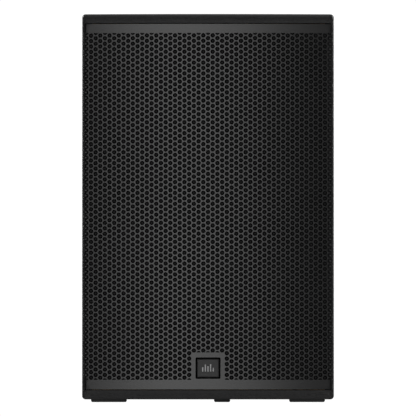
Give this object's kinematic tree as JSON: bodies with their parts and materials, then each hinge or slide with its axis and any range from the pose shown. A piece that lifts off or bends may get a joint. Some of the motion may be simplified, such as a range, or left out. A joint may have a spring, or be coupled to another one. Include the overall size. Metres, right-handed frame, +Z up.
{
  "type": "loudspeaker cabinet",
  "caption": "Powered two-way PA loudspeaker in a textured plywood cabinet with a bowed perforated steel grille, a wedge side for monitor use, recessed handles and a pole socket.",
  "frame": {"origin": "on the floor, under the middle of the bounding box", "axes": "+Z up, the grille faces -Y, +X to the right of someone who looks at the grille"},
  "size_m": [0.372, 0.356, 0.573],
  "materials": {
    "textured_paint": "matte",
    "grille_paint": "satin",
    "raw_plywood": "matte",
    "open_cell_foam": "matte",
    "badge_metal": "satin",
    "rubber": "matte",
    "moulded_plastic": "satin",
    "cast_metal": "satin",
    "steel": "satin",
    "ferrite": "matte",
    "paper_cone": "matte",
    "treated_cloth": "matte",
    "coil_copper": "satin",
    "titanium": "satin",
    "wadding": "matte",
    "panel_paint": "matte",
    "anodised_aluminium": "satin",
    "circuit_board": "satin",
    "light_plastic": "satin"
  },
  "bodies": {
    "cabinet": {"acoustic_lining": "wadding", "amp_board": "circuit_board", "amp_chassis": "panel_paint", "amp_cover": "steel", "back_panel": "textured_paint", "badge_plate": "badge_metal", "bottom_panel": "textured_paint", "foot_front_left": "rubber", "foot_front_right": "rubber", "foot_rear_left": "rubber", "foot_rear_right": "rubber", "front_baffle": "raw_plywood", "grille": "grille_paint", "grille_foam": "open_cell_foam", "heatsink": "anodised_aluminium", "hf_driver_body": "ferrite", "hf_lead": "rubber", "hf_rear_cover": "cast_metal", "input_board": "circuit_board", "input_jack_1": "moulded_plastic", "input_jack_2": "moulded_plastic", "left_side_panel": "textured_paint", "loop_output_socket": "moulded_plastic", "mains_inlet": "moulded_plastic", "pole_socket": "moulded_plastic", "port_duct_left": "moulded_plastic", "port_duct_right": "moulded_plastic", "power_switch_frame": "moulded_plastic", "right_side_panel": "textured_paint", "side_handle_cup": "moulded_plastic", "side_handle_grip": "rubber", "suspension_plug_1": "steel", "suspension_plug_2": "steel", "top_handle_cup": "moulded_plastic", "top_handle_grip": "rubber", "top_panel": "textured_paint", "waveguide_horn": "moulded_plastic", "wedge_foot_lower": "rubber", "wedge_foot_upper": "rubber", "wedge_side_panel": "textured_paint", "woofer_basket": "cast_metal", "woofer_gasket": "rubber", "woofer_lead": "rubber", "woofer_magnet": "ferrite", "woofer_pole_plate": "steel", "woofer_spider": "treated_cloth", "woofer_surround": "treated_cloth", "woofer_top_plate": "steel"},
    "woofer_moving_parts": {"woofer_cone": "paper_cone", "woofer_dust_cap": "paper_cone", "woofer_voice_coil": "coil_copper"},
    "hf_diaphragm": {"hf_diaphragm": "titanium"},
    "gain_knob_1": {"gain_knob_1": "moulded_plastic"},
    "gain_knob_2": {"gain_knob_2": "moulded_plastic"},
    "mic_line_button_1": {"mic_line_button_1": "light_plastic"},
    "mic_line_button_2": {"mic_line_button_2": "light_plastic"},
    "eq_button": {"eq_button": "light_plastic"},
    "power_rocker": {"power_rocker": "moulded_plastic"},
    "jack_latch_1": {"jack_latch_1": "steel"},
    "jack_latch_2": {"jack_latch_2": "steel"}
  },
  "joints": [
    {"name": "woofer_cone_stroke", "type": "slide", "parent": "cabinet", "child": "woofer_moving_parts", "axis": [0, -1, 0], "range_m": [-0.006, 0.006], "stiffness_N_per_m": 4000, "deforming": ["woofer_surround", "woofer_spider"]},
    {"name": "hf_diaphragm_stroke", "type": "slide", "parent": "cabinet", "child": "hf_diaphragm", "axis": [0, -1, 0], "range_m": [-0.0004, 0.0004], "stiffness_N_per_m": 3000},
    {"name": "gain_knob_1_turn", "type": "hinge", "parent": "cabinet", "child": "gain_knob_1", "pos_m": [-0.104, 0.16, 0.24], "axis": [0, -1, 0], "range_deg": [-150, 150]},
    {"name": "gain_knob_2_turn", "type": "hinge", "parent": "cabinet", "child": "gain_knob_2", "pos_m": [-0.062, 0.16, 0.24], "axis": [0, -1, 0], "range_deg": [-150, 150]},
    {"name": "mic_line_button_1_press", "type": "slide", "parent": "cabinet", "child": "mic_line_button_1", "axis": [0, -1, 0], "range_m": [0, 0.0015], "stiffness_N_per_m": 400},
    {"name": "mic_line_button_2_press", "type": "slide", "parent": "cabinet", "child": "mic_line_button_2", "axis": [0, -1, 0], "range_m": [0, 0.0015], "stiffness_N_per_m": 400},
    {"name": "eq_button_press", "type": "slide", "parent": "cabinet", "child": "eq_button", "axis": [0, -1, 0], "range_m": [0, 0.0015], "stiffness_N_per_m": 400},
    {"name": "power_rocker_tilt", "type": "hinge", "parent": "cabinet", "child": "power_rocker", "pos_m": [-0.016, 0.155, 0.115], "axis": [1, 0, 0], "range_deg": [0, 22]},
    {"name": "jack_latch_1_press", "type": "slide", "parent": "cabinet", "child": "jack_latch_1", "axis": [0, -1, 0], "range_m": [0, 0.002], "stiffness_N_per_m": 500},
    {"name": "jack_latch_2_press", "type": "slide", "parent": "cabinet", "child": "jack_latch_2", "axis": [0, -1, 0], "range_m": [0, 0.002], "stiffness_N_per_m": 500}
  ]
}
